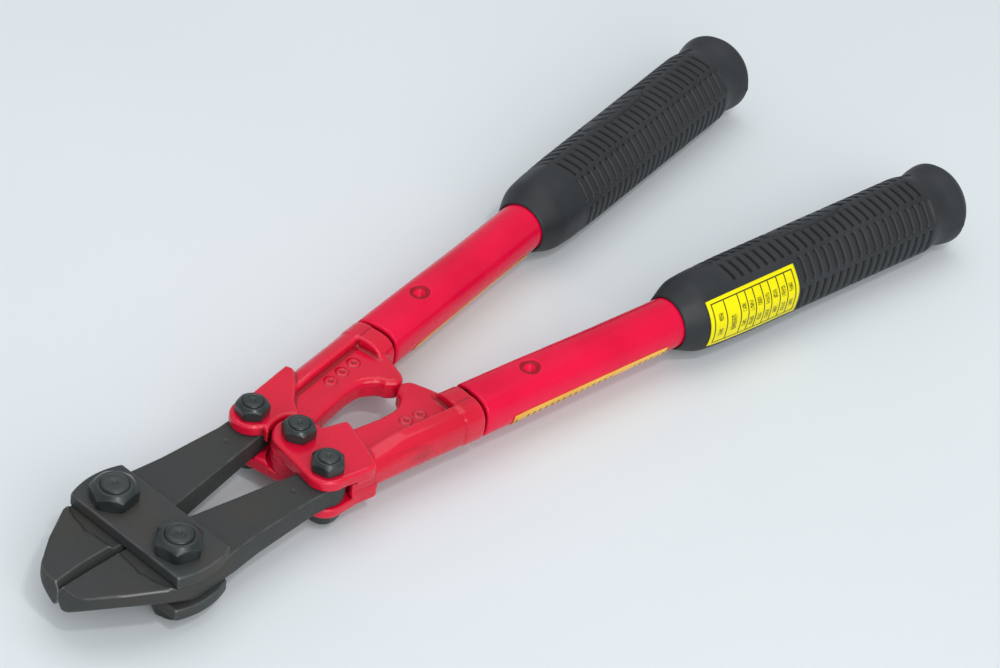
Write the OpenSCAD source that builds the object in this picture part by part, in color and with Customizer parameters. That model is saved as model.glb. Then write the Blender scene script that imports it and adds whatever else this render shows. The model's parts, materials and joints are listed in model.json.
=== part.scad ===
// Bolt cutters of the 300 mm class, lying flat with the jaws shut.
// X runs from the grips to the jaw tips, Y to the left handle and Z up.
// The left and right sides are the same parts, the right ones turned over.

/* [Jaws] */
// Distance between the two jaw bolts
jaw_bolt_gap = 25.4; // [25:0.1:26]
// Reach of the jaw tips beyond the jaw bolts
jaw_reach = 30.7; // [29:0.1:33]
// Length of a jaw arm from its jaw bolt to its link bolt
arm_length = 54.1; // [52:0.1:56]
// Thickness of the blades
jaw_thick = 10; // [9.6:0.1:10.4]
// Thickness of the arms behind the straps
arm_thick = 8.5; // [8.2:0.1:9]
// Thickness of a jaw at the flats on which the straps lie
jaw_seat = 8; // [7.8:0.1:8.2]
// Thickness of the tongue at the end of a jaw arm
tongue_thick = 6.7; // [6:0.1:6.7]
// Height of each cutting bevel
bevel_depth = 3.6; // [3:0.1:4]

/* [Straps] */
// Thickness of each strap
strap_thick = 4; // [3.8:0.1:4.2]
// Length of a strap along the tool
strap_depth = 18.8; // [18:0.2:19.6]
// Width of a strap across the tool, at its corners
strap_width = 42.6; // [42:0.1:43.6]
// Bulge of the rounded ends of a strap
strap_bulge = 2; // [1.6:0.1:2.2]
// Distance of the middle of a strap behind the jaw bolts
strap_set = 1.4; // [1:0.1:1.8]

/* [Forks] */
// Thickness of a fork over its ears
fork_thick = 14; // [14:0.1:14.4]
// Distance between the two link bolts
link_bolt_gap = 30; // [30:0.1:31]
// Distance of the centre bolt behind the line of the link bolts
toggle_set = 3.6; // [3.4:0.1:4]
// Radius of an ear round its link bolt
ear_r = 6.5; // [6.3:0.1:6.7]
// Radius of a lug round the centre bolt
lug_r = 7.5; // [7.3:0.1:7.6]
// Length of the tang inside the handle tube
tang_length = 38; // [34:1:50]

/* [Handles] */
// Angle of each handle to the centre line
handle_angle = 8; // [7.8:0.1:8.2]
// Outer diameter of a handle tube
tube_d = 16; // [15.8:0.1:16.2]
// Wall of a handle tube
tube_wall = 1.5; // [1.4:0.1:1.6]
// Start of a tube, measured along the handle from the centre bolt
tube_start = 52; // [51:0.2:54]
// Place of the crimp dimples along the handle
dimple_at = 74; // [73:0.5:77]
// Start of a grip along the handle
grip_start = 130.3; // [127:0.1:132]
// Length of a grip
grip_length = 124.2; // [122:0.1:126]
// Diameter of a grip along its ribs
grip_d = 26.4; // [26:0.1:27]
// Diameter of the flare that ends a grip
flare_d = 27.4; // [27:0.1:28]

/* [Bolts] */
// Diameter of the jaw bolts
jaw_bolt_d = 8; // [8:M8]
// Width of the jaw nuts across the flats
jaw_nut_af = 13; // [13:M8]
// Diameter of the link bolts and the centre bolt
link_bolt_d = 6; // [6:M6]
// Width of the link and centre nuts across the flats
link_nut_af = 10; // [10:M6]
// Radial running clearance in the bores
fit = 0.05; // [0.03:0.01:0.08]

/* [Labels] */
// Thickness of the labels
label_thick = 0.2; // [0.15:0.05:0.3]

/* [Hidden] */
$fn = 96;

// Heights: the grip flares and the heads of the jaw bolts stand on z = 0
mid_z = flare_d / 2;
level = fork_thick / 4;
seat_z = jaw_seat / 2 + 0.05;
jaw_head_h = mid_z - seat_z - strap_thick;
jaw_nut_h = 5;
link_nut_h = 4;
gap = 0.1;

// Places along and across the tool, worked out from the grip ends
handle_end = grip_start + grip_length;
back_reach = handle_end * cos(handle_angle) + 9 * sin(handle_angle);
tool_length = back_reach + toggle_set + arm_length + jaw_reach;
tip_x = tool_length / 2;
jaw_x = tip_x - jaw_reach;
jaw_y = jaw_bolt_gap / 2;
link_x = jaw_x - arm_length;
link_y = link_bolt_gap / 2;
centre_x = link_x - toggle_set;
bar_y = 12;
heel_r = jaw_y - gap / 2;
tongue_r = 5.7;
pocket_r = lug_r + 0.95;
open_pivot_r = link_bolt_d / 2 + 0.95;
tube_r = tube_d / 2;
bore_r = tube_r - tube_wall;
grip_floor = handle_end - 8;
dimple_r = 5;
dimple_depth = 1.3;

jaw_colour = [0.25, 0.25, 0.24];
red = [0.82, 0.04, 0.12];
nut_colour = [0.22, 0.23, 0.22];
rubber = [0.13, 0.13, 0.14];
yellow = [0.93, 0.85, 0.1];

// Points of an arc round c, from angle a to angle b
function arc(c, r, a, b, n = 12) =
  [for (i = [0:n]) c + r * [cos(a + (b - a) * i / n), sin(a + (b - a) * i / n)]];

// The handle parts of the right side are those of the left side turned over
module turned_over() {
  translate([0, 0, mid_z]) rotate([180, 0, 0]) translate([0, 0, -mid_z]) children();
}

// Local frame of the left handle: +X along it to the grip, -Y outward
module on_handle() {
  translate([centre_x, bar_y, 0]) rotate([0, 0, 180 - handle_angle]) children();
}

module at_mid() {
  translate([0, 0, mid_z]) children();
}

module hex_prism(af, h) {
  cylinder(h = h, d = af / cos(30), $fn = 6);
}

// A nut or head with its outer corners turned down to a chamfer
module chamfered_hex(af, h) {
  intersection() {
    hex_prism(af, h);
    union() {
      cylinder(h = h - af * 0.06, d = af / cos(30) + 1);
      translate([0, 0, h - af * 0.06]) cylinder(h = af * 0.06, d1 = af / cos(30), d2 = af * 0.95);
    }
  }
}

// A bolt whose head hangs below z = 0, with a turned end that is centre punched
module bolt(d, af, head_h, shank) {
  difference() {
    union() {
      rotate([180, 0, 0]) chamfered_hex(af, head_h);
      cylinder(h = shank - 0.6, d = d);
      translate([0, 0, shank - 0.6]) cylinder(h = 0.6, d1 = d, d2 = d - 1.2);
    }
    translate([0, 0, shank - 0.5]) cylinder(h = 1, d1 = 0.4, d2 = 2.4);
  }
}

module nut(d, af, h) {
  difference() {
    chamfered_hex(af, h);
    translate([0, 0, -1]) cylinder(h = h + 2, r = d / 2 + fit);
  }
}

// Straps

module strap_shape() {
  chord = strap_depth / 2;
  r = (chord * chord + strap_bulge * strap_bulge) / (2 * strap_bulge);
  a = asin(chord / r);
  c = strap_width / 2 + strap_bulge - r;
  difference() {
    translate([jaw_x - strap_set, 0])
      polygon(concat(arc([0, c], r, 90 - a, 90 + a), arc([0, -c], r, 270 - a, 270 + a)));
    for (s = [-1, 1]) translate([jaw_x, s * jaw_y]) circle(r = jaw_bolt_d / 2 + fit);
  }
}

module strap() {
  translate([0, 0, mid_z + seat_z]) linear_extrude(strap_thick) strap_shape();
}

module strap_top() {
  color(jaw_colour) strap();
}

module strap_bottom() {
  color(jaw_colour) turned_over() strap();
}

// Jaws

// Plan of the left jaw: blade, rolling heel, arm and round tongue
module jaw_plan() {
  p = [jaw_x, jaw_y];
  l = [link_x, link_y];
  blade = [[tip_x, gap / 2], [tip_x, 3]];
  nose = arc([tip_x - 7, 4.4], 7, 0, 62, 8);
  cheek = [[jaw_x + 11, jaw_y + 8.1], [jaw_x + 4, jaw_y + 9.2], [jaw_x - 7, jaw_y + 8.8]];
  outer = [[jaw_x - 24, jaw_y + 7.2], [link_x + 9, link_y + 4.4]];
  arm_end = arc(l, tongue_r, 60, 262);
  inner = [[jaw_x - 14, jaw_y - 10]];
  heel = arc(p, heel_r, 235, 270, 8);
  polygon(concat(blade, nose, cheek, outer, arm_end, inner, heel));
}

// Side view that thins the arm towards its tongue
module jaw_side() {
  t = tongue_thick / 2;
  h = jaw_thick / 2;
  seat = jaw_seat / 2;
  arm = arm_thick / 2;
  thin_x = link_x + 9;
  arm_x = jaw_x - 15.5;
  front_x = jaw_x + 10.4;
  polygon([
    [link_x - 8, -t], [thin_x, -t], [arm_x, -arm], [jaw_x - 12.6, -seat], [front_x, -seat],
    [front_x + 0.6, -h], [tip_x - 6, -h + 0.4], [tip_x, -h + 1.6], [tip_x, h - 1.6],
    [tip_x - 6, h - 0.4], [front_x + 0.6, h], [front_x, seat], [jaw_x - 12.6, seat],
    [arm_x, arm], [thin_x, t], [link_x - 8, t]
  ]);
}

// One bevel above the cutting edge, sloping down from the face to the edge
module edge_bevel() {
  h = jaw_thick / 2;
  translate([jaw_x + 5.5, 0, 0]) rotate([90, 0, 90]) linear_extrude(jaw_reach)
    polygon([[-1, h + 1], [2.3, h + 1], [1.7, h], [gap / 2, h - bevel_depth], [-1, h - bevel_depth]]);
}

// Slope under the cheek of the blade, from the middle plane down and inwards
module cheek_bevel() {
  translate([jaw_x + 10.5, jaw_y + 8.2, 0]) rotate([0, 0, -32.5]) rotate([90, 0, 90])
    linear_extrude(40) polygon([[0.8, 1], [9, 1], [9, -8], [-9.5, -8]]);
}

module jaw() {
  at_mid() difference() {
    intersection() {
      translate([0, 0, -jaw_thick]) linear_extrude(2 * jaw_thick) jaw_plan();
      translate([0, 40, 0]) rotate([90, 0, 0]) linear_extrude(50) jaw_side();
    }
    edge_bevel();
    mirror([0, 0, 1]) edge_bevel();
    cheek_bevel();
    translate([jaw_x, jaw_y, -jaw_thick]) cylinder(h = 2 * jaw_thick, r = jaw_bolt_d / 2 + fit);
    translate([link_x, link_y, -jaw_thick]) cylinder(h = 2 * jaw_thick, r = link_bolt_d / 2 + fit);
  }
}

module jaw_left() {
  color(jaw_colour) jaw();
}

module jaw_right() {
  color(jaw_colour) mirror([0, 1, 0]) jaw();
}

// Jaw bolts and nuts

module jaw_bolt(side) {
  color(nut_colour) translate([jaw_x, side * jaw_y, jaw_head_h])
    bolt(jaw_bolt_d, jaw_nut_af, jaw_head_h, 2 * (mid_z - jaw_head_h) + jaw_nut_h + 0.5);
}

module jaw_nut(side) {
  color(nut_colour) translate([jaw_x, side * jaw_y, 2 * mid_z - jaw_head_h])
    nut(jaw_bolt_d, jaw_nut_af, jaw_nut_h);
}

module jaw_bolt_left() {
  jaw_bolt(1);
}

module jaw_bolt_right() {
  jaw_bolt(-1);
}

module jaw_nut_left() {
  jaw_nut(1);
}

module jaw_nut_right() {
  jaw_nut(-1);
}

// Forks: four levels at the centre bolt, counted from the top

module slab(lo, hi) {
  translate([0, 0, lo]) linear_extrude(hi - lo) children();
}

// Ear pad of the top level, which reaches over the centre bolt
module top_pad_shape() {
  l = [link_x, link_y];
  c = [centre_x, 0];
  corner = [centre_x - 6, bar_y + 9.4];
  polygon(concat(arc(l, ear_r, -12, 95), arc(corner, 2, 95, 158, 4),
    [[centre_x - 15, 5]], arc(c, lug_r, 165, 345, 16)));
}

// Ear pad of the bottom level, which makes room for the other fork's lug and
// runs back along the bar as far as reach
module bottom_pad_shape(reach) {
  l = [link_x, link_y];
  corner = [centre_x - reach, bar_y + 8.7 + 0.07 * reach];
  difference() {
    polygon(concat(arc(l, ear_r, -75, 95), arc(corner, 2, 95, 200, 6), [[centre_x - 9, 10]]));
    translate([centre_x, 0]) circle(r = pocket_r);
  }
}

// Flat web between the bar, the centre lug and the stop nose
module web_shape() {
  nose_x = centre_x - 42;
  polygon(concat(
    [[centre_x + 3, 12], [centre_x - 12, 22], [nose_x - 6, 24], [nose_x - 6, 8.8]],
    arc([nose_x, 4.1], 4, 200, 290, 8),
    arc([nose_x + 7.5, 1.5], 3.6, 180, 110, 8),
    [[centre_x - 27, 6.9], [centre_x - 18, 5.4], [centre_x - 7, 2.7], [centre_x, 4]]
  ));
}

// Half-round bar on the outer side, the round collar at the tube and the tang
module fork_bar() {
  collar = 7.5;
  on_handle() {
    intersection() {
      rotate([0, 90, 0]) cylinder(h = tube_start, r = tube_r);
      union() {
        translate([12, -20, -2 * level]) cube([tube_start, 18.8, 4 * level]);
        translate([tube_start - collar, -20, -20]) cube([collar + 5, 40, 40]);
      }
    }
    translate([tube_start - collar, 0, 0]) rotate([0, 90, 0])
      cylinder(h = collar + tang_length, r = bore_r - fit);
  }
}

// Clear space in which the jaw tongue swings
module tongue_slot() {
  r = tongue_r + 1.2;
  slab(-level, level) {
    translate([link_x, link_y]) circle(r = r);
    translate([link_x - r, link_y]) square([40, 40]);
    translate([link_x, link_y - r]) square([40, 20]);
  }
}

// Hollows of the crimps, on the upper and lower side of a handle
module crimps(r) {
  for (s = [-1, 1]) translate([dimple_at, 0, s * (tube_r - dimple_depth + dimple_r)])
    sphere(r = r);
}

module fork(centre_r, pad_reach) {
  at_mid() difference() {
    union() {
      difference() {
        union() {
          slab(level, 2 * level) top_pad_shape();
          slab(-level, level) web_shape();
          slab(-2 * level, -level) bottom_pad_shape(pad_reach);
          fork_bar();
        }
        tongue_slot();
        slab(-gap / 2, level + gap / 2) translate([centre_x, 0]) circle(r = pocket_r);
        slab(-20, -level + gap / 2) translate([centre_x, 0]) circle(r = pocket_r);
      }
      slab(-level + gap / 2, -gap / 2) translate([centre_x, 0]) circle(r = lug_r);
    }
    translate([centre_x, 0, -20]) cylinder(h = 40, r = centre_r);
    translate([link_x, link_y, -20]) cylinder(h = 40, r = link_bolt_d / 2 + fit);
    on_handle() crimps(dimple_r + tube_wall + fit);
  }
}

module fork_left() {
  color(red) fork(link_bolt_d / 2 + fit, 8.5);
}

module fork_right() {
  color(red) turned_over() fork(open_pivot_r, 17);
}

// Link bolts, the centre bolt and their nuts

module link_bolt(x, y) {
  color(nut_colour) translate([x, y, mid_z - 2 * level])
    bolt(link_bolt_d, link_nut_af, link_nut_h, fork_thick + link_nut_h + 0.5);
}

module link_nut(x, y) {
  color(nut_colour) translate([x, y, mid_z + 2 * level])
    rotate([0, 0, 12]) nut(link_bolt_d, link_nut_af, link_nut_h);
}

module link_bolt_left() {
  link_bolt(link_x, link_y);
}

module link_bolt_right() {
  link_bolt(link_x, -link_y);
}

module link_nut_left() {
  link_nut(link_x, link_y);
}

module link_nut_right() {
  link_nut(link_x, -link_y);
}

module centre_bolt() {
  color(nut_colour) translate([centre_x, 0, mid_z - 2 * level - gap])
    bolt(link_bolt_d, link_nut_af, link_nut_h, fork_thick + link_nut_h + 0.5 + gap);
}

module centre_nut() {
  link_nut(centre_x, 0);
}

// Handle tubes, pressed into the tang at two opposite dimples
module tube() {
  start = tube_start + 0.5;
  at_mid() on_handle() difference() {
    union() {
      difference() {
        translate([start, 0, 0]) rotate([0, 90, 0]) cylinder(h = grip_floor - 0.5 - start, r = tube_r);
        translate([start - 1, 0, 0]) rotate([0, 90, 0]) cylinder(h = handle_end, r = bore_r);
      }
      intersection() {
        translate([dimple_at - 10, 0, 0]) rotate([0, 90, 0]) cylinder(h = 20, r = tube_r);
        crimps(dimple_r + tube_wall);
      }
    }
    crimps(dimple_r);
  }
}

module tube_left() {
  color(red) tube();
}

module tube_right() {
  color(red) turned_over() tube();
}

// Grips: a blind sleeve with a collar, a ribbed length, a neck and a flare
module grip_profile() {
  r = grip_d / 2;
  neck = r - 0.9;
  polygon(concat(
    [[tube_r + fit, 0], [tube_r + 1, 0], [r - 3.2, 2.2], [r - 1.5, 6], [r - 0.9, 10], [r - 0.7, 20]],
    [[r, 65], [r, grip_length - 19], [neck, grip_length - 13]],
    arc([flare_d / 2 - 5, grip_length - 5], 5, -35, 90, 10),
    [[0, grip_length], [0, grip_length - 8], [tube_r + fit, grip_length - 8]]
  ));
}

module grip() {
  at_mid() on_handle() translate([grip_start, 0, 0]) rotate([0, 90, 0]) {
    rotate_extrude() grip_profile();
  }
}

module grip_left() {
  color(rubber) grip();
}

module grip_right() {
  color(rubber) turned_over() grip();
}

// A thin curved label on a round body of radius r, from angle a to angle b
// round the handle, where 0 is up and 90 is outward
module wrapped_label(r, start, length, a, b) {
  at_mid() on_handle() translate([start, 0, 0]) rotate([90, 0, 90]) linear_extrude(length)
    polygon(concat(arc([0, 0], r + label_thick, 90 + a, 90 + b, 10), arc([0, 0], r, 90 + b, 90 + a, 10)));
}

module capacity_label() {
  color(yellow) wrapped_label(grip_d / 2 + 0.02, grip_start + 7.5, 36.7, 36, 112);
}

module tube_label_left() {
  color(yellow) wrapped_label(tube_r + 0.02, 63, 61, 97, 140);
}

module tube_label_right() {
  color(yellow) turned_over() wrapped_label(tube_r + 0.02, 63, 61, -68, -25);
}

strap_top();
strap_bottom();
jaw_left();
jaw_right();
jaw_bolt_left();
jaw_bolt_right();
jaw_nut_left();
jaw_nut_right();
fork_left();
fork_right();
link_bolt_left();
link_bolt_right();
link_nut_left();
link_nut_right();
centre_bolt();
centre_nut();
tube_left();
tube_right();
grip_left();
grip_right();
capacity_label();
tube_label_left();
tube_label_right();
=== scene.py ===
# %% [markdown]
# # A pair of bolt cutters
#
# Bolt cutters are two forged jaws held by a pair of straps, driven by two cast
# forks whose long tube handles end in rubber grips. The moving frame comes
# packed, so this lesson dresses it: each piece is worked out again as a smooth
# surface with rounded edges, given a finish, and told which body it moves with.
# Lengths are in millimetres until a mesh is made.

import json

import bpy
import numpy as np
from mathutils import Matrix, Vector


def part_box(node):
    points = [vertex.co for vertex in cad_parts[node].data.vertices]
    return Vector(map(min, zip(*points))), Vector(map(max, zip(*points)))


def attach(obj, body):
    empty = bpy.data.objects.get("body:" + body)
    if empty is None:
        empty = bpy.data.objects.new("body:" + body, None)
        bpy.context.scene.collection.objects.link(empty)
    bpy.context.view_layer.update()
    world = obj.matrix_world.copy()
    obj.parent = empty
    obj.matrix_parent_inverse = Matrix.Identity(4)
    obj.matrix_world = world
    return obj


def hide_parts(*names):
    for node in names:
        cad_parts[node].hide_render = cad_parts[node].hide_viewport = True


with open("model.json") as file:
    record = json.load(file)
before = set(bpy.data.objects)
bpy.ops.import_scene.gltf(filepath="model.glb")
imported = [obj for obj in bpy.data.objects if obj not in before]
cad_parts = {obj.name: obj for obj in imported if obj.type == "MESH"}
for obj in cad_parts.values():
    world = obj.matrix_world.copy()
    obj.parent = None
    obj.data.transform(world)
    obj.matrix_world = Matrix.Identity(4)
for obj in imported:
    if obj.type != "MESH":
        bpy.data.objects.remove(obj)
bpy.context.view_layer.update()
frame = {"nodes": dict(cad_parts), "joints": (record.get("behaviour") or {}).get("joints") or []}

# %% [markdown]
# ## Places on the tool
#
# Every place is taken from the frame: the pivots are where its joints are, and
# the ends are the corners of its boxes. The two handles are the same pieces
# turned over about the long axis, so only the left side is worked out.
# Heights count from the middle plane, which is the plane of turning.

# %% Pivots and ends
MM = 1000.0


def pivot(name):
    """Place of a joint in millimetres."""
    joint = next(j for j in frame["joints"] if j["name"] == name)
    return np.array(joint["pos_m"]) * MM


def box(node):
    """Lowest and highest corners of a node in millimetres."""
    return np.array(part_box(node)) * MM


jaw_x, jaw_y, mid_z = pivot("jaw_left_pivot")
link_x, link_y, _ = pivot("handle_left_fold")
centre_x = box("centre_bolt").mean(axis=0)[0]
tip_x = box("jaw_left")[1][0]
print("jaw pivot", round(jaw_x, 1), round(jaw_y, 1), "tip", round(tip_x, 1))

# %% [markdown]
# ## The line of a handle
#
# A handle leaves the centre bolt at a slight angle. Three directions are enough
# to place anything on it: along the tube, outward across the tool, and up.
# The distance along the handle is called s and the angle round it is measured
# from the top towards the outside.

# %% Directions of the left handle
handle_angle = np.radians(8)
bar_y = 12.0
along = np.array([-np.cos(handle_angle), np.sin(handle_angle), 0])
outward = np.array([np.sin(handle_angle), np.cos(handle_angle), 0])
upward = np.array([0.0, 0.0, 1.0])
root = np.array([centre_x, bar_y, 0])


def on_handle(s, radius, angle):
    """Root + s along + radius times (sine of the angle outward + cosine upward)."""
    s, radius, angle = np.broadcast_arrays(s, radius, angle)
    across = radius * np.sin(angle)
    up = radius * np.cos(angle)
    return root + s[..., None] * along + across[..., None] * outward + up[..., None] * upward


def handle_share(x, y):
    """Distances along and outward from the handle line, by dot products."""
    dx, dy = x - root[0], y - root[1]
    return dx * along[0] + dy * along[1], dx * outward[0] + dy * outward[1]


def along_handle(node):
    """Least and greatest distance along the handle that a node's mesh reaches."""
    data = frame["nodes"][node].data
    flat = np.empty(3 * len(data.vertices), dtype=np.float32)
    data.vertices.foreach_get("co", flat)
    s, _ = handle_share(*(flat.reshape(-1, 3)[:, :2] * MM).T)
    return s.min(), s.max()


def smooth(value, low, high):
    """Smooth step from zero to one between low and high."""
    t = np.clip((value - low) / (high - low), 0, 1)
    return t * t * (3 - 2 * t)


tube_start = along_handle("tube_left")[0]
grip_start, grip_end = along_handle("grip_left")
tube_r = 8.0
grip_r = 13.2
print("tube from", round(tube_start, 1), "grip", round(grip_start, 1), "to", round(grip_end, 1))

# %% [markdown]
# ## The camera
#
# The tool lies on a table and is seen from above its jaws, turned a little in
# the frame. A long lens keeps the far grips from shrinking too much. The camera
# is placed by its angles round a target at the tool's middle.

# %% Camera
azimuth, elevation, roll = np.radians([126.116, 38.793, 9.527])
distance_m = 0.87209
target = np.array([(jaw_x - 142.454) / MM, 0.001307, mid_z / MM])
back = np.array([
    np.sin(azimuth) * np.cos(elevation),
    -np.cos(azimuth) * np.cos(elevation),
    np.sin(elevation),
])
level = np.array([np.cos(azimuth), np.sin(azimuth), 0])
rise = np.cross(back, level)
right = level * np.cos(roll) + rise * np.sin(roll)
top = rise * np.cos(roll) - level * np.sin(roll)
eye = target + back * distance_m


def add_object(name, data):
    """Object in the scene that holds the data."""
    thing = bpy.data.objects.new(name, data)
    bpy.context.scene.collection.objects.link(thing)
    return thing


def standing(right, top, back, spot):
    """Matrix whose columns are three axes and a place."""
    return Matrix([*np.column_stack([right, top, back, spot]).tolist(), [0, 0, 0, 1]])


camera = add_object("camera", bpy.data.cameras.new("camera"))
camera.data.lens = 104.73
camera.data.sensor_width = 36
camera.data.clip_start = 0.01
camera.matrix_world = standing(right, top, back, eye)
bpy.context.scene.camera = camera
print("camera at", np.round(eye, 3))

# %% [markdown]
# ## Wiring a finish
#
# A material is a small network of nodes. Writing it as arithmetic is shorter
# than drawing it, so a wire stands for one output socket and Python's operators
# add the Math nodes. Every other node comes from one method that takes its type,
# its settings and its sockets.


# %% Wires and finishes
class Wire:
    """An output socket on which Python arithmetic adds Math nodes."""

    def __init__(self, finish, socket):
        self.finish, self.socket = finish, socket

    def math(self, operation, *values):
        return self.finish.node("ShaderNodeMath", {"operation": operation}, dict(enumerate(values)))

    def __add__(self, other):
        return self.math("ADD", self, other)

    def __sub__(self, other):
        return self.math("SUBTRACT", self, other)

    def __rsub__(self, other):
        return self.math("SUBTRACT", other, self)

    def __mul__(self, other):
        return self.math("MULTIPLY", self, other)


class Finish:
    """A material that is built by adding nodes and wiring them together."""

    def __init__(self, name):
        self.material = bpy.data.materials.new(name)
        self.material.use_nodes = True
        self.tree = self.material.node_tree
        self.tree.nodes.clear()

    def node(self, kind, settings=None, sockets=None, out=0):
        node = self.tree.nodes.new(kind)
        for key, value in (settings or {}).items():
            setattr(node, key, value)
        for key, value in (sockets or {}).items():
            if isinstance(value, Wire):
                self.tree.links.new(value.socket, node.inputs[key])
            else:
                node.inputs[key].default_value = value
        return Wire(self, node.outputs[out])

    def place(self):
        return self.node("ShaderNodeTexCoord", out=3)

    def print_axes(self):
        """Place on a label: u along the handle and v round it."""
        uv = self.node("ShaderNodeTexCoord", out=2)
        return [self.node("ShaderNodeSeparateXYZ", sockets={0: uv}, out=axis) for axis in (0, 1)]

    def noise(self, size_mm, detail=3.0, roughness=0.5):
        """Noise whose spots are about as wide as the size."""
        sockets = {"Scale": MM / size_mm, "Detail": detail, "Roughness": roughness}
        return self.node("ShaderNodeTexNoise", sockets={"Vector": self.place(), **sockets})

    def attribute(self, name):
        return self.node("ShaderNodeAttribute", {"attribute_name": name}, out=2)

    def ease(self, value, low, high, start=0.0, end=1.0):
        """Smooth step from start to end as the value goes from low to high."""
        sockets = {"Value": value, "From Min": low, "From Max": high, "To Min": start, "To Max": end}
        return self.node("ShaderNodeMapRange", {"interpolation_type": "SMOOTHSTEP"}, sockets)

    def mix(self, share, first, second):
        """Colour that goes from the first to the second as the share grows."""
        pair = [c if isinstance(c, Wire) else (*c, 1.0) for c in (first, second)]
        return self.node("ShaderNodeMix", {"data_type": "RGBA"}, {0: share, 6: pair[0], 7: pair[1]}, out=2)

    def bump(self, height, depth_mm, strength=1.0, onto=None):
        sockets = {"Height": height, "Distance": depth_mm / MM, "Strength": strength}
        if onto is not None:
            sockets["Normal"] = onto
        return self.node("ShaderNodeBump", sockets=sockets)

    def surface(self, **sockets):
        """Closes the network with a Principled surface."""
        named = {key.replace("_", " ").title().replace("Ior", "IOR"): value for key, value in sockets.items()}
        named = {k: ((*v, 1.0) if isinstance(v, tuple) and len(v) == 3 else v) for k, v in named.items()}
        shader = self.node("ShaderNodeBsdfPrincipled", sockets=named)
        output = self.tree.nodes.new("ShaderNodeOutputMaterial")
        self.tree.links.new(shader.socket, output.inputs["Surface"])
        return self.material


print("a finish is ready to wire")

# %% [markdown]
# ## Black oxide on forged steel
#
# Jaws and straps are forged, ground where they work, then blackened in hot salts.
# The result is a thin dark coat, brownish where the salts dried and grey where
# hands and steel have rubbed the edges. Noise and the edge attribute, which says
# how sharply the surface turns, follow the shape by themselves.


# %% Jaw finish
def black_oxide(name, tint, rough):
    """Dark coat: cloudy tint, fine grain, and bare metal on the sharpest edges."""
    f = Finish(name)
    cloud = f.noise(22, 4, 0.6)
    grain = f.noise(0.9, 4, 0.65)
    edge = f.attribute("edge")
    worn = f.ease(edge + (f.noise(4, 4) - 0.5) * 2.2, 1.0, 2.0) * 0.2 + f.ease(edge, 2.1, 3.2) * 0.6
    brown = f.mix(f.ease(cloud, 0.42, 0.66), tint, tuple(c * k for c, k in zip(tint, (1.25, 1.04, 0.9))))
    speck = f.mix(f.ease(grain, 0.6, 0.8) * 0.3, brown, tuple(c * 2.0 for c in tint))
    colour = f.mix(worn, speck, (0.19, 0.19, 0.18))
    forged = f.bump(f.noise(2.6, 5, 0.6), 0.16, 0.45)
    fine = f.bump(grain, 0.05, 0.4, forged)
    return f.surface(
        base_color=colour,
        metallic=0.1,
        roughness=f.ease(grain + cloud * 0.5, 0.45, 1.05, rough - 0.06, rough + 0.1) - worn * 0.15,
        normal=fine,
        specular_ior_level=0.24,
    )


jaw_black = black_oxide("jaw_black_oxide", (0.038, 0.041, 0.04), 0.52)
strap_black = black_oxide("strap_black_oxide", (0.04, 0.046, 0.047), 0.48)
print("forged steel finishes ready")

# %% [markdown]
# ## Oiled fasteners
#
# Bolts and nuts are machined, so their coat is smoother and still holds a film
# of oil. The same coat with less grain and a thin clear layer gives the wet
# glints on the chamfers.


# %% Fastener finish
def oiled_oxide():
    f = Finish("fastener_black_oxide")
    grain = f.noise(0.7, 3, 0.6)
    film = f.noise(6, 3)
    worn = f.ease(f.attribute("edge") + (f.noise(3) - 0.5) * 1.2, 0.7, 1.6) * 0.4
    oily = f.mix(f.ease(film, 0.4, 0.65), (0.016, 0.022, 0.022), (0.027, 0.035, 0.034))
    colour = f.mix(worn, oily, (0.1, 0.11, 0.1))
    return f.surface(
        base_color=colour,
        metallic=0.1,
        roughness=f.ease(film, 0.35, 0.7, 0.3, 0.44),
        normal=f.bump(grain, 0.03, 0.35),
        coat_weight=0.2,
        coat_roughness=0.2,
        specular_ior_level=0.35,
    )


fastener_black = oiled_oxide()
print("fastener finish ready")

# %% [markdown]
# ## Red enamel
#
# The castings and tubes are sprayed with thick gloss enamel, with the slight waviness of sprayed paint.
# Painted shade darkens the red in the corners and a painted highlight brightens it over edges. On the rough
# castings the skin of the mould still shows through as a soft grain.


# %% Paint finish
def red_enamel(name, deep, full, wave, grain, gloss, coat):
    """Gloss paint: painted shade in corners and painted highlight on edges, waves in the clear layer, grain
    under it.
    """
    f = Finish(name)
    edge = f.attribute("edge")
    # Painted shade: darker red where the edge attribute marks a corner. Painted highlight: brighter red over
    # edges.
    corner_shade = f.ease(edge, -0.05, -0.8)
    edge_highlight = f.ease(edge, 0.3, 1.4)
    red = f.mix(f.ease(f.noise(30, 3), 0.35, 0.65), deep, full)
    colour = f.mix(edge_highlight * 0.35, f.mix(corner_shade * 0.8, red, (0.2, 0.001, 0.006)), (0.72, 0.02, 0.05))
    wave_mm, wave_depth = wave
    waves = f.bump(f.noise(wave_mm, 3, 0.45), wave_depth, 0.35)
    spot_mm, glossy, dull = gloss
    return f.surface(
        base_color=colour,
        roughness=f.ease(f.noise(spot_mm, 4), 0.3, 0.7, glossy, dull),
        normal=f.bump(f.noise(0.8, 3, 0.6), 0.05, grain, waves),
        coat_weight=coat,
        coat_roughness=0.05,
        specular_ior_level=0.12,
    )


casting_red = red_enamel(
    "casting_red_enamel", (0.54, 0.002, 0.022), (0.62, 0.004, 0.032),
    wave=(3.2, 0.3), grain=0.3, gloss=(9, 0.24, 0.36), coat=0.55,
)
tube_red = red_enamel(
    "tube_red_enamel", (0.62, 0.002, 0.036), (0.7, 0.004, 0.045),
    wave=(6, 0.1), grain=0.08, gloss=(14, 0.2, 0.3), coat=0.12,
)
print("paint finishes ready")
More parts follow.
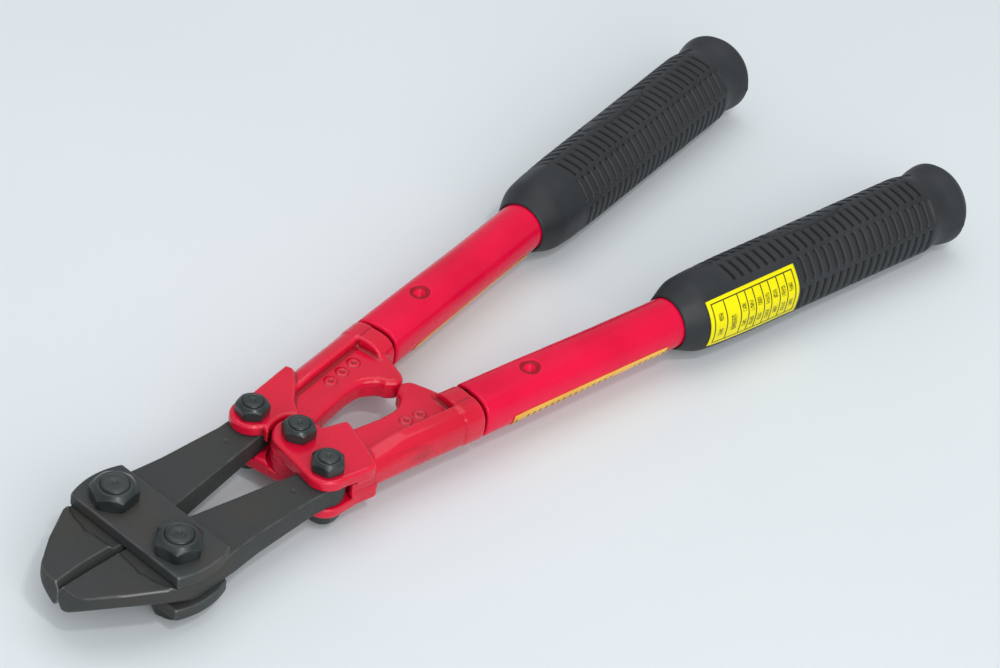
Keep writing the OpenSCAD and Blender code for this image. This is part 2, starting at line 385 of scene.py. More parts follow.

# %% [markdown]
# ## Moulded rubber
#
# The grips are moulded in a soft black rubber that scatters light, so it looks dark grey rather than black.
# The slits are darkened as painted shade and the tops of the ribs lightened as a painted highlight, which the
# edge attribute tells apart.


# %% Rubber finish
def grip_rubber_finish():
    f = Finish("grip_rubber")
    edge = f.attribute("edge")
    cloud = f.noise(26, 4, 0.6)
    dark = f.mix(f.ease(cloud, 0.4, 0.65), (0.016, 0.019, 0.021), (0.023, 0.026, 0.028))
    # Painted shade: darker in the slits. Painted highlight: lighter on the tops of the ribs.
    slit_shade = f.mix(f.ease(edge, -0.1, -0.9), dark, (0.005, 0.006, 0.006))
    colour = f.mix(f.ease(edge, 0.3, 1.2) * 0.3, slit_shade, (0.045, 0.048, 0.052))
    grain = f.bump(f.noise(0.5, 3, 0.6), 0.03, 0.35)
    return f.surface(
        base_color=colour,
        roughness=f.ease(cloud, 0.35, 0.65, 0.46, 0.56),
        normal=grain,
        specular_ior_level=0.32,
    )


rubber = grip_rubber_finish()
print("rubber finish ready")

# %% [markdown]
# ## From numbers to a mesh
#
# A mesh is a list of points and a list of faces. Each piece is given its own mesh with its place in it,
# shaded smooth, and hung on its body, and the nodes of the frame that it stands for are hidden. The right
# side is the left side turned over about the long axis, which is a turn and not a mirror, so faces still
# point outwards.


# %% Make a piece
def turned(points):
    """Half a turn about the long axis: across and up both change sign."""
    return points * np.array([1.0, -1.0, -1.0])


def new_piece(name, points, faces, body, slot, material, stands_for, edge=None, uv=None):
    """Mesh from points in millimetres above the middle plane, and its place in the tool."""
    mesh = bpy.data.meshes.new(name)
    lifted = (points + [0, 0, mid_z]) / MM
    mesh.from_pydata(lifted.tolist(), [], faces.tolist() if hasattr(faces, "tolist") else faces)
    mesh.polygons.foreach_set("use_smooth", np.ones(len(mesh.polygons), dtype=bool))
    edge = np.zeros(len(points)) if edge is None else edge
    layer = mesh.attributes.new("edge", "FLOAT", "POINT")
    layer.data.foreach_set("value", np.asarray(edge, dtype=np.float32))
    if uv is not None:
        corners = np.empty(len(mesh.loops), dtype=np.int32)
        mesh.loops.foreach_get("vertex_index", corners)
        mesh.uv_layers.new(name="print").data.foreach_set("uv", uv[corners].astype(np.float32).ravel())
    mesh.materials.append(material)
    mesh.update()
    piece = add_object(name, mesh)
    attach(piece, body)
    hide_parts(*stands_for)


def handle_piece(name, side, points, faces, slot, material, node, **layers):
    """Piece that rides a handle; the right side's is turned over."""
    points = points if side == "left" else turned(points)
    new_piece(name, points, faces, "handle_" + side, slot, material, (node,), **layers)


print("a mesh is ready to fill")

# %% [markdown]
# ## Skin on a distance
#
# Castings and forgings are lumps whose edges are all rounded and whose corners
# are all filled. Such a shape is easiest to describe by its distance: a rule
# that says how far a point is from the surface, less than nothing inside. A skin
# is then laid where the distance is nothing. Each small cell that the surface
# crosses gets one point, at the middle of its crossings, and neighbouring points
# are joined into four-sided faces.


# %% Lay a skin
CORNERS = np.array([[i, j, k] for i in (0, 1) for j in (0, 1) for k in (0, 1)])
CELL_EDGES = [
    (a, b) for a in range(8) for b in range(a + 1, 8)
    if np.abs(CORNERS[a] - CORNERS[b]).sum() == 1
]
EDGE_REACH = 0.45


def neighbours(distance, points, reach):
    """Distances one reach ahead of each point and one behind it, along each axis."""
    moves = np.eye(3) * reach
    return [np.array([distance(*(points + way * m).T) for m in moves]) for way in (1, -1)]


def skin(distance, low, high, step):
    """Points and faces where the distance is zero, and how sharply it spreads there."""
    low, high = np.array(low, float), np.array(high, float)
    counts = np.ceil((high - low) / step).astype(int) + 1
    x, y, z = (low[n] + step * np.arange(counts[n]) for n in range(3))
    field = np.broadcast_to(distance(x[:, None, None], y[None, :, None], z[None, None, :]), counts)
    inside = field < 0
    total = sum(
        inside[i:counts[0] - 1 + i, j:counts[1] - 1 + j, k:counts[2] - 1 + k].astype(np.int8)
        for i, j, k in CORNERS
    )
    cells = np.argwhere((total > 0) & (total < 8))
    number = np.full(total.shape, -1)
    number[tuple(cells.T)] = np.arange(len(cells))
    values = np.stack([field[tuple((cells + c).T)] for c in CORNERS], axis=1)
    place_sum = np.zeros((len(cells), 3))
    crossings = np.zeros(len(cells))
    for a, b in CELL_EDGES:
        crossed = (values[:, a] < 0) != (values[:, b] < 0)
        share = np.where(crossed, values[:, a] / np.where(crossed, values[:, a] - values[:, b], 1), 0)
        spot = CORNERS[a] + share[:, None] * (CORNERS[b] - CORNERS[a])
        place_sum += spot * crossed[:, None]
        crossings += crossed
    points = low + step * (cells + place_sum / crossings[:, None])
    rings = []
    for axis in range(3):
        near = tuple(slice(0, -1) if n == axis else slice(1, -1) for n in range(3))
        far = tuple(slice(1, None) if n == axis else slice(1, -1) for n in range(3))
        starts_inside = inside[near]
        at = np.argwhere(starts_inside != inside[far])
        leaving = starts_inside[tuple(at.T)]
        at = at + (np.arange(3) != axis)
        u, v = np.eye(3, dtype=int)[[(axis + 1) % 3, (axis + 2) % 3]]
        ring = np.stack([number[tuple(c.T)] for c in (at, at - u, at - u - v, at - v)], axis=1)
        rings.append(np.where(leaving[:, None], ring, ring[:, ::-1]))
    for _ in range(2):
        ahead, behind = neighbours(distance, points, step / 5)
        g = (ahead - behind).T / (2 * step / 5)
        move = g * (distance(*points.T) / np.maximum((g * g).sum(axis=1), 0.05))[:, None]
        points = points - np.clip(move, -step / 2, step / 2)
    spread = sum(neighbours(distance, points, EDGE_REACH)).sum(axis=0) - 6 * distance(*points.T)
    return points, np.concatenate(rings), spread / EDGE_REACH**2


print("each cell has", len(CELL_EDGES), "edges to test")

# %% [markdown]
# ## Words for shapes
#
# A few rules are enough to build all the metal parts: the distance to an outline
# drawn flat, the part that two shapes share, and the two together. Both of the
# last can round the edge where the surfaces meet.


# %% Outlines, shared parts and joins
def arc(centre, radius, start, end, count=12):
    """Points round a centre from one angle to another, in degrees."""
    turn = np.radians(np.linspace(start, end, count + 1))
    return np.stack([centre[0] + radius * np.cos(turn), centre[1] + radius * np.sin(turn)], axis=1)


def outline(*parts, soften=0.0):
    """Closed outline from points and arcs, its corners rounded by a short curve."""
    points = np.concatenate([np.atleast_2d(np.asarray(p, float)) for p in parts])
    if not soften:
        return points
    before = np.roll(points, 1, axis=0) - points
    after = np.roll(points, -1, axis=0) - points
    reach_a = np.linalg.norm(before, axis=1, keepdims=True)
    reach_b = np.linalg.norm(after, axis=1, keepdims=True)
    a = before / reach_a * np.minimum(soften, reach_a / 2)
    b = after / reach_b * np.minimum(soften, reach_b / 2)
    t = np.linspace(0, 1, 5)[None, :, None]
    curve = points[:, None] + a[:, None] * (1 - t) ** 2 + b[:, None] * t**2
    return curve.reshape(-1, 2)


def flat_distance(shape, x, y):
    """Least distance to the sides of an outline; the sign says if a ray crosses it oddly."""
    side = np.roll(shape, -1, axis=0) - shape
    px = x[..., None] - shape[:, 0]
    py = y[..., None] - shape[:, 1]
    ex, ey = side.T
    share = np.clip((px * ex + py * ey) / np.maximum(ex * ex + ey * ey, 1e-12), 0, 1)
    reach = np.sqrt(((px - share * ex) ** 2 + (py - share * ey) ** 2).min(axis=-1))
    crossed = ((py < 0) != (py < ey)) & ((px * ey - py * ex < 0) == (ey > 0))
    return np.where(crossed.sum(axis=-1) % 2 == 1, -reach, reach)


def plan(shape, step=0.2):
    """Reader of an outline's distance, worked out once on a sheet of close points."""
    low, high = shape.min(axis=0) - 9, shape.max(axis=0) + 9
    counts = np.ceil((high - low) / step).astype(int) + 1
    x, y = (low[n] + step * np.arange(counts[n]) for n in range(2))
    parts = np.array_split(x, 12)
    sheet = np.concatenate([flat_distance(shape, part[:, None], y[None, :]) for part in parts])

    def read(x, y):
        u, v = np.broadcast_arrays((x - low[0]) / step, (y - low[1]) / step)
        u, v = np.clip(u, 0, counts[0] - 1.001), np.clip(v, 0, counts[1] - 1.001)
        i, j = u.astype(int), v.astype(int)
        u, v = u - i, v - j
        near = sheet[i, j] * (1 - u) + sheet[i + 1, j] * u
        far = sheet[i, j + 1] * (1 - u) + sheet[i + 1, j + 1] * u
        return near * (1 - v) + far * v

    return read


def shared(a, b, r=0.0):
    """Part that two shapes share, with the edge between them rounded to r."""
    if not r:
        return np.maximum(a, b)
    return np.hypot(np.maximum(a + r, 0), np.maximum(b + r, 0)) + np.minimum(np.maximum(a, b) + r, 0) - r


def joined(a, b, r=0.0):
    """Two shapes together, with a fillet of radius r in the corner."""
    return -shared(-a, -b, r)


def without(a, b, r=0.0):
    """First shape with the second cut away."""
    return shared(a, -b, r)


def post(x, y, centre, radius):
    """Distance to a round post that stands at the centre."""
    return np.hypot(x - centre[0], y - centre[1]) - radius


def rings(x, y, first, step, count, radius, form):
    """Row of small rings, as height above the face: rise times a clipped slope to each rim."""
    rise_mm, crest, soft = form
    height = 0.0
    for n in range(count):
        off = np.abs(post(x - n * step[0], y - n * step[1], first, radius))
        height = height + rise_mm * np.clip(crest - off / soft, 0, 1)
    return height


disc = arc((0, 0), 5, 0, 350, 35)
print("middle of a test disc:", round(float(flat_distance(disc, np.array(0.0), np.array(0.0))), 2))

# %% [markdown]
# ## A jaw
#
# Each jaw is one forging: a blade whose two bevels meet in the cutting edge, a
# thick shoulder with flats milled for the straps, an arm, and a round tongue
# that sits in the fork. The right jaw is its mirror image. The plan is one
# outline, the thickness changes along the length, and the bevels are sloping
# planes cut from the edge.

# %% Left jaw
blade_gap = 0.05
jaw_half = 5.0
seat_half = 3.95
tongue_half = 3.35
arm_half = 4.25
bevel_foot = 2.0
bevel_width = 1.7
jaw_bore = 4.05
link_bore = 3.05
link = (link_x, link_y)
jaw_pivot = (jaw_x, jaw_y)
step_front = jaw_x + 10.4
step_back = jaw_x - 11.5

jaw_outline = plan(outline(
    [[tip_x, blade_gap], [tip_x, 3]],
    arc((tip_x - 7, 4.4), 7, 0, 62, 8),
    [[jaw_x + 21, jaw_y + 2.3], [jaw_x + 11, jaw_y + 8.1]],
    [[jaw_x + 4, jaw_y + 9.2], [jaw_x - 7, jaw_y + 8.8], [jaw_x - 24, jaw_y + 7.2]],
    [[link_x + 9, link_y + 4.4]],
    arc(link, 5.7, 60, 262),
    [[jaw_x - 14, jaw_y - 10]],
    arc(jaw_pivot, jaw_y - blade_gap, 235, 270, 8),
))


def step_line(y):
    """How far the front step runs ahead at each distance from the middle."""
    return np.interp(np.abs(y), [0, 8, 10.5, 12.5, 16, 19, 21], [0, 0.6, 1.2, 0.6, 0.1, -0.8, -2.2])


def jaw_thickness(x, y):
    """Half thickness along the jaw: tongue, arm, milled flat, blade and thinned nose."""
    front = step_front + step_line(y)
    arm = np.interp(x, [link_x + 8, link_x + 10.5, jaw_x - 14], [tongue_half, tongue_half + 0.15, arm_half])
    blade = np.interp(x, [tip_x - 9, tip_x], [jaw_half, 4.3])
    rise = smooth(x, front - 0.4, front + 1.1)
    dip = smooth(-x, -step_back, 2.5 - step_back)
    return np.where(x > jaw_x, seat_half + (blade - seat_half) * rise, seat_half + (arm - seat_half) * dip)


def jaw_shape(x, y, z):
    """Outline with drafted walls, between the faces, less bevels, bores and marks."""
    height = np.abs(z)
    body = shared(jaw_outline(x, y) + 0.05 * height - 0.05, height - jaw_thickness(x, y), 0.6)
    outside = (x - jaw_x - 10.5) * 0.537 + (y - jaw_y - 8.2) * 0.843
    body = shared(body, (outside + 0.4 - z) / 1.41, 0.8)
    run = np.hypot(jaw_half - bevel_foot, bevel_width)
    over_bevel = ((height - bevel_foot) * bevel_width - (y - blade_gap) * (jaw_half - bevel_foot)) / run
    bevel = shared(-over_bevel, jaw_x + 5.5 - x)
    body = without(body, bevel, 0.25)
    body = without(body, post(x, y, jaw_pivot, jaw_bore))
    body = without(body, post(x, y, link, link_bore))
    dot = np.sqrt((x - jaw_x + 43) ** 2 + (y - 13.4) ** 2 + (height - 4.0) ** 2) - 0.95
    body = without(body, dot, 0.15)
    marks = rings(x, y, (jaw_x - 17.2, jaw_y - 1.2), (-3.6, 0), 3, 1.0, (0.12, 1.0, 0.5))
    return body - marks * (height > 3)


jaw_room = (link_x - 7, -1, -6), (tip_x + 1, jaw_y + 11, 6)
jaw_points, jaw_faces, jaw_edge = skin(jaw_shape, *jaw_room, 0.36)
px, py, pz = jaw_points.T
# A lighter grey band, added to the edge value, along the top outer edge of the left blade ahead of the strap;
# the right blade has none.
left_edge_band = np.exp(-((pz - 4.8) / 0.5) ** 2 - (jaw_outline(px, py) / 0.55) ** 2)
left_edge_band *= smooth(px, jaw_x + 8, jaw_x + 11) * smooth(-px, -jaw_x - 25, -jaw_x - 20)
mirror = np.array([1.0, -1.0, 1.0])
blades = (
    ("left", jaw_points, jaw_faces, jaw_edge + 2.2 * left_edge_band),
    ("right", jaw_points * mirror, jaw_faces[:, ::-1], jaw_edge),
)
for side, points, faces, edge in blades:
    jaw = "jaw_" + side
    new_piece("blade_" + side, points, faces, jaw, "jaw_black", jaw_black, (jaw,), edge)
print("a jaw has", len(jaw_faces), "faces")

# %% [markdown]
# ## The straps
#
# Two flat straps hold the jaws at a fixed distance, one above and one below.
# They are cut from plate with straight long sides and rounded ends, so a plan of
# a band shared by two large discs is all they need.

# %% Straps
strap_low, strap_high = box("strap_top") - [0, 0, mid_z]
strap_x, _, strap_z = (strap_low + strap_high) / 2
half_x, _, half_z = (strap_high - strap_low) / 2
strap_bulge = 2.0
end_radius = (half_x**2 + strap_bulge**2) / (2 * strap_bulge)


def strap_shape(x, y, z):
    """Band across the tool shared by two discs, between its two faces."""
    ends = np.hypot(x - strap_x, np.abs(y) + end_radius - strap_high[1]) - end_radius
    plate = shared(np.abs(x - strap_x) - half_x, ends, 0.5)
    body = shared(plate, np.abs(z - strap_z) - half_z, 0.6)
    return without(body, post(x, np.abs(y), jaw_pivot, jaw_bore))


strap_points, strap_faces, strap_edge = skin(strap_shape, strap_low - 0.7, strap_high + 0.7, 0.34)
for name, points in (("top", strap_points), ("bottom", turned(strap_points))):
    strap = ("strap_" + name,)
    new_piece("plate_" + name, points, strap_faces, "head", "jaw_black", strap_black, strap, strap_edge)
print("a strap has", len(strap_faces), "faces")

# %% [markdown]
# ## A fork
#
# The forks are the red castings. Two thin ears hold the jaw's tongue, a flat web
# runs back between a stop nose and a half-round bar, and a collar meets the
# handle tube. At the middle bolt the two castings interleave like fingers, each
# in the room that the other leaves. Every part is an outline between two
# heights, and all corners are filled with the fillet that thick paint makes.

# %% Fork outlines
lug_r = 7.5
room_r = lug_r + 0.95
sheet_half = 3.5
centre = (centre_x, 0)
nose_x = centre_x - 42
collar_start = tube_start - 8.1

top_pad = plan(outline(
    arc(link, 6.5, -12, 95),
    [[centre_x - 5.2, bar_y + 11.2], [centre_x - 8.0, bar_y + 11.2], [centre_x - 10.2, bar_y + 6.9]],
    [[centre_x - 13, bar_y - 0.6], [centre_x - 15.2, 4.5]],
    arc(centre, lug_r, 165, 345, 16),
    soften=1.2,
))


def low_pad(reach):
    """Outline of the lower pad, which runs back along the bar as far as reach."""
    return plan(outline(
        arc(link, 6.5, -75, 95),
        [[centre_x - 3.4, bar_y + 9.5], [centre_x - reach - 1.6, bar_y + 9.4 + 0.15 * reach]],
        [[centre_x - reach - 2.4, bar_y + 6.8 + 0.15 * reach], [centre_x - 0.75 * reach - 2.6, bar_y + 4.4]],
        [[centre_x - 9.4, 11]],
        arc(centre, room_r, 138, 45, 10),
        soften=0.8,
    ))


web = plan(outline(
    [[centre_x + 3, 12], [centre_x + 1.5, 20.5], [centre_x - 8, 22], [nose_x - 6, 24], [nose_x - 6, 9.5]],
    arc((nose_x, 4.1), 4, 205, 285, 6),
    [[nose_x + 3.6, 2.2]],
    arc((nose_x + 8.0, 1.5), 4.4, 168, 112, 5),
    [[centre_x - 33, 7.1], [centre_x - 27, 6.9], [centre_x - 18, 5.2], [centre_x - 7, 2.7], [centre_x, 4]],
    soften=2.2,
))
print("web is", round(float(web(nose_x, 4.1)), 1), "mm deep at its nose")


# %% Left fork
def slab(flat, z, low, high, r):
    """Outline between two heights with its edges rounded."""
    return shared(flat, np.abs(z - (low + high) / 2) - (high - low) / 2, r)


def fork_shape(x, y, z, low_plan):
    """Bar, collar, web and ears together, less the tongue's slot and the other fork's room."""
    s, o = handle_share(x, y)
    round_bar = 7.4 * ((np.abs(o / tube_r) ** 2.8 + np.abs(z / 6.85) ** 2.8) ** (1 / 2.8) - 1)
    bar = shared(round_bar, 1.2 - o, 1.0)
    bar = shared(bar, np.abs(z) - np.interp(s, [13, 24], [5.4, 7.4]), 1.0)
    bar = shared(bar, shared(11 - s, s - tube_start + 1.3), 0.5)
    collar = shared(round_bar, shared(collar_start - s, s - tube_start + 1.3), 0.7)
    tang = shared(round_bar + 2.3, shared(collar_start - s, s - tube_start - 5))
    form = (0.28, 1.25, 0.55)
    marks = rings(x, y, (centre_x - 30.9, 12.9), 5.0 * along, 2, 1.25, form) * (z > 0)
    marks = marks + rings(x, y, (centre_x - 26.4, 13.0), 5.6 * along, 3, 1.25, form) * (z < 0)
    flat_web = slab(web(x, y), z, -sheet_half, sheet_half, 1.9) - marks * (np.abs(z) > 3)
    body = joined(joined(bar, collar, 0.8), flat_web, 1.2)
    body = joined(body, slab(top_pad(x, y), z, 2.0, 7.0, 1.1), 0.8)
    low_slab = without(slab(low_plan(x, y), z, -7.0, -2.0, 1.1), post(x, y, centre, room_r))
    body = joined(body, low_slab, 0.8)
    mouth = joined(shared(link_x - x, link_y - 6.9 - y), shared(link_x - 5 - x, link_y - y))
    body = without(body, shared(joined(post(x, y, link, 6.9), mouth), np.abs(z) - sheet_half), 0.4)
    room = joined(np.abs(z - sheet_half / 2) - sheet_half / 2 - 0.05, z + sheet_half - 0.05)
    body = without(body, shared(post(x, y, centre, room_r), room), 0.3)
    lug = slab(post(x, y, centre, lug_r), z, -sheet_half + 0.05, -0.05, 0.5)
    body = joined(joined(body, lug, 0.3), tang)
    return without(body, post(x, y, link, link_bore))


def finished_fork(bore, reach):
    """Fork with its centre bore and with its lower pad as long as asked."""
    low_plan = low_pad(reach)
    return lambda x, y, z: without(fork_shape(x, y, z, low_plan), post(x, y, centre, bore))


fork_room = (centre_x - 60, -8.5, -8.6), (link_x + 8, 28, 8.6)
for side, bore, pad_reach in (("left", link_bore, 8.5), ("right", 3.95, 17)):
    points, faces, edge = skin(finished_fork(bore, pad_reach), *fork_room, 0.4)
    node = "fork_" + side
    handle_piece("casting_" + side, side, points, faces, "red_paint", casting_red, node, edge=edge)
print("a fork has", len(faces), "faces")

# %% [markdown]
# ## Turned and wrapped surfaces
#
# Tubes, grips, bolts and labels are all a profile carried round or along an
# axis. The surface is a grid: one direction follows the profile and the other
# goes round. Poles are closed with one point, and a closed profile is joined to
# itself, so there are no open edges.


# %% Faces of a grid
def grid_faces(rows, columns, loop_rows=False, loop_columns=True):
    """Four-sided faces between neighbouring rows and columns of a grid."""
    i = np.arange(rows if loop_rows else rows - 1)[:, None]
    j = np.arange(columns if loop_columns else columns - 1)[None, :]
    i2, j2 = (i + 1) % rows, (j + 1) % columns
    corners = [i * columns + j, i2 * columns + j, i2 * columns + j2, i * columns + j2]
    return np.stack([np.broadcast_to(c, (i.size, j.size)) for c in corners], axis=-1).reshape(-1, 4)


def closed_turning(grid, edge):
    """Grid of rings closed at both ends by a fan to the middle of its end ring."""
    rows, columns, _ = grid.shape
    faces = grid_faces(rows, columns).tolist()
    points = np.concatenate([grid.reshape(-1, 3), [grid[0].mean(axis=0), grid[-1].mean(axis=0)]])
    j = np.arange(columns)
    k = (j + 1) % columns
    first = np.full(columns, rows * columns)
    last_row = (rows - 1) * columns
    faces += np.stack([first, j, k], axis=1).tolist()
    faces += np.stack([first + 1, last_row + k, last_row + j], axis=1).tolist()
    return points, faces, np.concatenate([edge.ravel(), [0.0, 0.0]])


print("a 3 by 4 grid has", len(grid_faces(3, 4)), "faces")

# %% [markdown]
# ## A handle tube
#
# The tube is pressed onto the casting's tang at a round crimp above and below. The crimp is a round dish
# inside a shallow step, with painted shade in the dish and a painted highlight on its rim and on the tube's
# end. Near the seam the tube is pressed flatter, and it becomes a true round towards the grip. Its wall has
# an inside too, because the end of the tube shows a dark lip at the seam.

# %% Tubes
crimp_at = 74.0
tube_lip = np.array([[0.3, 6.5], [0.0, 6.8], [0.0, 7.5], [0.12, 7.8], [0.4, 8.0]])
crimp_zone = np.arange(-6, 6.01, 0.25) + crimp_at - tube_start
tube_stop = grip_start - tube_start + 8


def tube_section(s, angle):
    """Radius of a flattened round that becomes a true round along the tube."""
    blend = smooth(s, 52, 106)
    power, half = 2.8 - 0.8 * blend, 7.0 + blend
    return (np.abs(np.sin(angle) / tube_r) ** power + np.abs(np.cos(angle) / half) ** power) ** (-1 / power)


def tube_grid():
    """Closed profile of the wall carried round the handle, dented at the crimps, with edge values that paint
    shade in the dents and a highlight on their rims and the tube's end.
    """
    before = np.linspace(1, crimp_zone[0] - 1, 8)
    after = np.linspace(crimp_zone[-1] + 1, tube_stop, 30)
    outer = np.concatenate([before, crimp_zone, after])
    s = np.concatenate([tube_lip[:, 0], outer, [tube_stop, tube_lip[0, 0] + 6]])
    r = np.concatenate([tube_lip[:, 1], np.full(len(outer), tube_r), [6.5, 6.5]])
    angle = np.linspace(0, 2 * np.pi, 192, endpoint=False)
    s, r, angle = s[:, None] + tube_start, r[:, None], angle[None, :]
    reach = np.hypot(s - crimp_at, np.sin(angle) * tube_r)
    dent = 0.4 * (1 - smooth(reach, 3.1, 3.6)) + 1.3 * (1 - smooth(reach, 0.3, 2.7))
    dent = dent * (r > tube_r - 0.01) * (np.abs(np.cos(angle)) > 0.5)
    # Painted highlight on the crimp's rim and at the tube's end, painted shade in the crimp's dish, carried
    # to the paint by the edge attribute.
    edge = 0.6 * np.exp(-(((reach - 3.7) / 0.35) ** 2)) - 1.6 * np.exp(-(((reach - 2.7) / 0.6) ** 2))
    rim_highlight = np.exp(-(((s - tube_start - 0.2) / 0.4) ** 2)) * (r > 7)
    edge = (edge * (r > 7.9) + rim_highlight + 0 * angle).ravel()
    return on_handle(s, r - tube_r + tube_section(s, angle) - dent, angle), edge


tube_points, tube_edge = tube_grid()
tube_faces = grid_faces(*tube_points.shape[:2], loop_rows=True)
tube_points = tube_points.reshape(-1, 3)
for side in ("left", "right"):
    tube = ("red_paint", tube_red, "tube_" + side)
    handle_piece("pipe_" + side, side, tube_points, tube_faces, *tube, edge=tube_edge)
print("a tube has", len(tube_faces), "faces")

# %% [markdown]
# ## A grip
#
# A grip is a moulded sleeve: a collar that swells from the tube, eight faces of
# short ribs with smooth ridges between them, an oval panel on each of two
# opposite faces, a neck, and a flare that stops the hand. The ribs are cut into
# the round by rules on the grid: slits repeat along the handle, half a step out
# of line from one face to the next, and fade out towards each ridge.

# %% Grip profile
grip_length = grip_end - grip_start
rib_pitch = 3.46
rib_start = 20.0
rib_count = 25
rib_end = rib_start + rib_count * rib_pitch
face_turn = np.radians(4.5)
panel_turn = np.radians(-33)
panel_at, panel_half, panel_width = 61.7, 16.5, 5.5
arrow_pitch = 4.4
smooth_patch = 45.5


def grip_profile():
    """Stations along the profile: mouth, collar, ribs, neck, flare and end."""
    mouth = [[3.0, 8.02], [0.35, 8.05], [0.0, 8.3], [0.0, 8.5], [0.2, 8.75]]
    collar = [
        [0.7, 9.0], [3.4, 10.2], [5.7, 11.2], [7.7, 11.85], [9.9, 12.15], [14.7, 12.45],
        [rib_start - 1, 12.6],
    ]
    ribs = np.linspace(rib_start, rib_end, rib_count * 12 + 1)
    rib_r = np.interp(ribs, [20, 28, 50, 85, 107], [12.65, 12.85, 12.95, 13.1, 13.2])
    neck = [(1.5, 13.0), (3.5, 12.55), (5.3, 12.4), (7.5, 12.6), (10, 13.2), (12.4, 13.6), (13.8, 13.6)]
    end = [(3, 13.1), (1.5, 12.1), (0.5, 10.5), (0.1, 8.6), (0, 6), (0, 2)]
    tail = [[rib_end + t, r] for t, r in neck] + [[grip_length - t, r] for t, r in end]
    before, after = soft_curve(np.array(collar), 4), soft_curve(np.array(tail), 4)
    flat = np.stack([ribs, rib_r], axis=1)
    return np.concatenate([mouth, before, flat, after])


def soft_curve(points, times):
    """Smooth curve through points, each piece a cubic that leans as its neighbours do."""
    before = np.concatenate([points[:1], points[:-1]])
    after = np.concatenate([points[1:], points[-1:]])
    lean = (after - before) / 2
    t = np.linspace(0, 1, times, endpoint=False)[None, :, None]
    a, b, la, lb = points[:-1, None], points[1:, None], lean[:-1, None], lean[1:, None]
    curve = a * (2 * t**3 - 3 * t**2 + 1) + la * (t**3 - 2 * t**2 + t)
    curve = curve + b * (3 * t**2 - 2 * t**3) + lb * (t**3 - t**2)
    return np.concatenate([curve.reshape(-1, 2), points[-1:]])


profile = grip_profile()
print("grip profile has", len(profile), "stations")


# %% Grip surface
def facets(t, angle):
    """Slight eight-sided swell with its ridges between the faces."""
    zone = smooth(t, 4, 14) * (1 - smooth(t, rib_end - 1, rib_end + 4))
    return -0.26 * zone * (1 + np.cos(8 * (angle - face_turn))) / 2 + 0.1 * zone


def slits(t, angle):
    """Depth of the rib slits: a pulse along each face that fades towards its ridges."""
    face = np.round((angle - face_turn) / (np.pi / 4))
    off = np.abs(angle - face_turn - face * np.pi / 4) / (np.pi / 8)
    step = (t - rib_start) / rib_pitch + 0.5 * (face % 2) + 0.5
    gap = np.abs(step - np.round(step)) * rib_pitch
    pulse = 1 - smooth(gap, 0.45, 0.82)
    zone = (t > rib_start) & (t < rib_end)
    under_label = (t < smooth_patch) & (face > 0) & (face < 3)
    return pulse * (1 - smooth(off, 0.66, 0.93)) * zone * (1 - under_label)


def off_panel(angle):
    """Distance round the grip from the middle of the nearer panel."""
    return ((angle - panel_turn + np.pi / 2) % np.pi - np.pi / 2) * grip_r


def panel(t, angle):
    """Ovals on opposite faces: one inside them, and the groove that runs round them."""
    u = (t - panel_at) / panel_half
    v = off_panel(angle) / panel_width
    size = (np.abs(u) ** 2.4 + np.abs(v) ** 2.4) ** (1 / 2.4)
    return 1 - smooth(size, 0.94, 1.0), np.exp(-(((size - 1.02) / 0.055) ** 2)), u, v


def chevrons(u, v):
    """Row of plain arrow-head grooves across the panel."""
    step = (u * panel_half - np.abs(v) * 2.2) / arrow_pitch
    gap = np.abs(step - np.round(step)) * arrow_pitch
    return (1 - smooth(gap, 0.35, 0.7)) * (np.abs(u) < 0.72) * (1 - smooth(np.abs(v), 0.55, 0.72))


def grip_depth(t, angle):
    """All that is cut into the plain round at each place."""
    inside, groove, u, v = panel(t, angle)
    cut = 1.05 * slits(t, angle) * (1 - inside) * (1 - groove)
    cut = cut + 0.55 * groove * (t > rib_start) + 0.45 * chevrons(u, v) * inside
    recess = 1 - smooth(np.hypot(t - rib_end - 3.2, off_panel(angle)), 1.6, 2.4)
    ledge = 0.1 * (smooth(t, rib_start - 2.2, rib_start - 1.4) - smooth(t, rib_start - 1.0, rib_start - 0.2))
    nub = 0.45 * np.exp(-((np.cos(angle) * grip_r / 0.9) ** 2) - ((t - rib_end - 12.8) / 1.2) ** 2)
    return cut + 0.9 * recess * (1 - cut) + ledge - nub


angles = np.linspace(0, 2 * np.pi, 208, endpoint=False)[None, :]
stations = profile[:, :1]
depth = grip_depth(stations, angles) * (stations > 10)
radii = profile[:, 1:] + facets(stations, angles) - depth
grip_grid = on_handle(stations + grip_start, radii, angles)
# Edge values for the rubber: negative in the slits for painted shade, positive on their rims for a painted
# highlight.
blurred = sum(np.roll(np.roll(depth, a, 0), b, 1) for a in (-2, 0, 2) for b in (-1, 0, 1)) / 9
grip_edge = (blurred - depth) * 2.2 - depth * 0.7
grip_points, grip_faces, grip_edge = closed_turning(grip_grid, grip_edge)
for side in ("left", "right"):
    grip = ("grip_rubber", rubber, "grip_" + side)
    handle_piece("handle_grip_" + side, side, grip_points, grip_faces, *grip, edge=grip_edge)
print("a grip has", len(grip_faces), "faces")

# %% [markdown]
# ## Bolts and nuts
#
# Nuts and bolt heads are cut from hexagonal bar and turned to a cone at the top,
# which leaves an arc on each flat. On a grid this is the smaller of two radii at
# every height: the hexagon's and the cone's. The bolt ends in a turned stub with
# a centre-punch mark, where it was staked over the nut.


# %% Hexagon turned to a cone
turns = np.linspace(0, 2 * np.pi, 144, endpoint=False)[None, :]


def hexagon(width, turn):
    """Radius of a turned hexagon at each angle, with its corners slightly rounded."""
    local = (turns - turn + np.pi / 6) % (np.pi / 3) - np.pi / 6
    return np.minimum(width / 2 / np.cos(local), width / 2 * 1.135)


